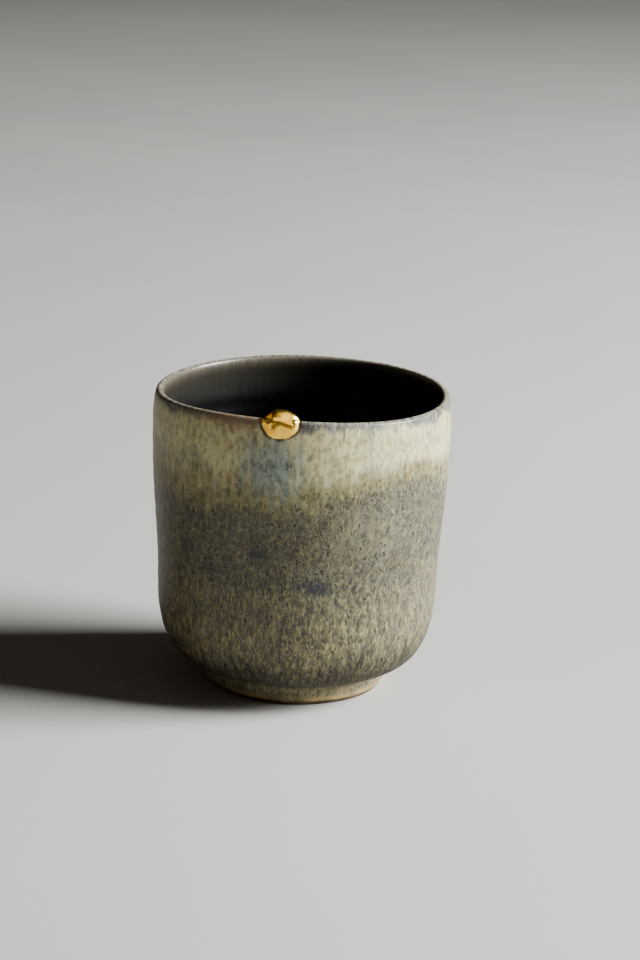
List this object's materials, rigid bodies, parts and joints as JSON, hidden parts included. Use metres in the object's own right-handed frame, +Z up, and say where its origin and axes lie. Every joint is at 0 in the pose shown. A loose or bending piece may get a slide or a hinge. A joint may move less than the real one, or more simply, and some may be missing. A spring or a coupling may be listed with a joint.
{
  "type": "matcha cup",
  "caption": "Hand-thrown stoneware matcha cup on a low foot ring, with a chip in its rim filled by a raised nugget of gold-finished lacquer; holds a drink.",
  "frame": {"origin": "on the table, under the middle of the foot ring", "axes": "+Z up through the middle of the mouth, -Y towards the front of the cup, where the gold repair sits"},
  "size_m": [0.0792, 0.08, 0.0837],
  "materials": {
    "glazed_stoneware": "satin ash glaze, pale at the rim and speckled grey-brown below, near black inside",
    "gold_lacquer": "burnished gold"
  },
  "bodies": {
    "root": {"cup_body": "glazed_stoneware", "gold_repair": "gold_lacquer"}
  },
  "joints": []
}
